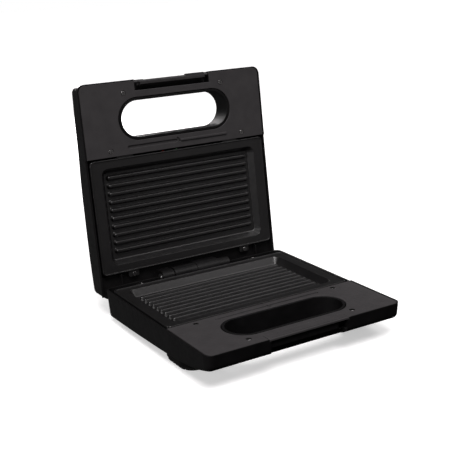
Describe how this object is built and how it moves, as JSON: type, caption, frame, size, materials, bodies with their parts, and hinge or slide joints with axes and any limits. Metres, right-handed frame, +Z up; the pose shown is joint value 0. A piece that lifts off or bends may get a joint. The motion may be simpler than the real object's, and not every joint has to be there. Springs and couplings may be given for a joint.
{
  "type": "panini press",
  "caption": "Two-sided contact grill standing open: handled base and hinged lid, each with a ribbed non-stick plate, and a swinging latch clip on the lid.",
  "frame": {"origin": "centre of the open press's bounding box, on the floor under the feet", "axes": "-Y is the front, where the handles open and the latch is; +Y is the hinge side; +X is the user's right; +Z is up"},
  "size_m": [0.239, 0.2882, 0.2654],
  "materials": {
    "casing": "fine textured black, soft sheen",
    "deck": "matte charcoal, finely textured",
    "clip": "satin dark grey",
    "non_stick_plate": "dark grey non-stick coating, semi-gloss",
    "heater": "heat-dulled sheath",
    "reflector": "bright pressed sheet",
    "thermostat": "plain",
    "terminal_block": "moulded cream",
    "wire_sleeve": "silicone sleeve",
    "gland": "moulded black",
    "foot_rubber": "soft black, ribbed tread",
    "hinge_steel": "ground",
    "screw_steel": "dark plated",
    "red_lens": "clear red",
    "green_lens": "clear green",
    "lamp_glass": "clear"
  },
  "bodies": {
    "base": {"base_shell": "casing", "base_deck": "deck", "base_deck_screws": "screw_steel", "catch_bar": "deck", "base_grill_plate": "non_stick_plate", "base_plate_screws": "screw_steel", "base_heating_element": "heater", "base_reflector": "reflector", "thermostat": "thermostat", "thermal_fuse": "thermostat", "terminal_block": "terminal_block", "lead_wires": "wire_sleeve", "cord_gland": "gland", "front_feet": "foot_rubber", "rear_feet": "foot_rubber", "hinge_pin": "hinge_steel", "hinge_washers": "hinge_steel"},
    "lid": {"lid_shell": "casing", "lid_deck": "deck", "lid_deck_screws": "screw_steel", "lid_grill_plate": "non_stick_plate", "lid_plate_screws": "screw_steel", "lid_heating_element": "heater", "lid_reflector": "reflector", "power_lens": "red_lens", "ready_lens": "green_lens", "indicator_lamps": "lamp_glass", "lamp_carrier": "terminal_block", "latch_pin": "hinge_steel"},
    "latch": {"latch_clip": "clip"}
  },
  "joints": [
    {"name": "lid_hinge", "type": "hinge", "parent": "base", "child": "lid", "pos_m": [0, 0.08834, 0.0355], "axis": [1, 0, 0], "range_deg": [0, 97.2]},
    {"name": "latch_hinge", "type": "hinge", "parent": "lid", "child": "latch", "pos_m": [0, 0.1257, 0.2618], "axis": [1, 0, 0], "range_deg": [0, 180]}
  ]
}
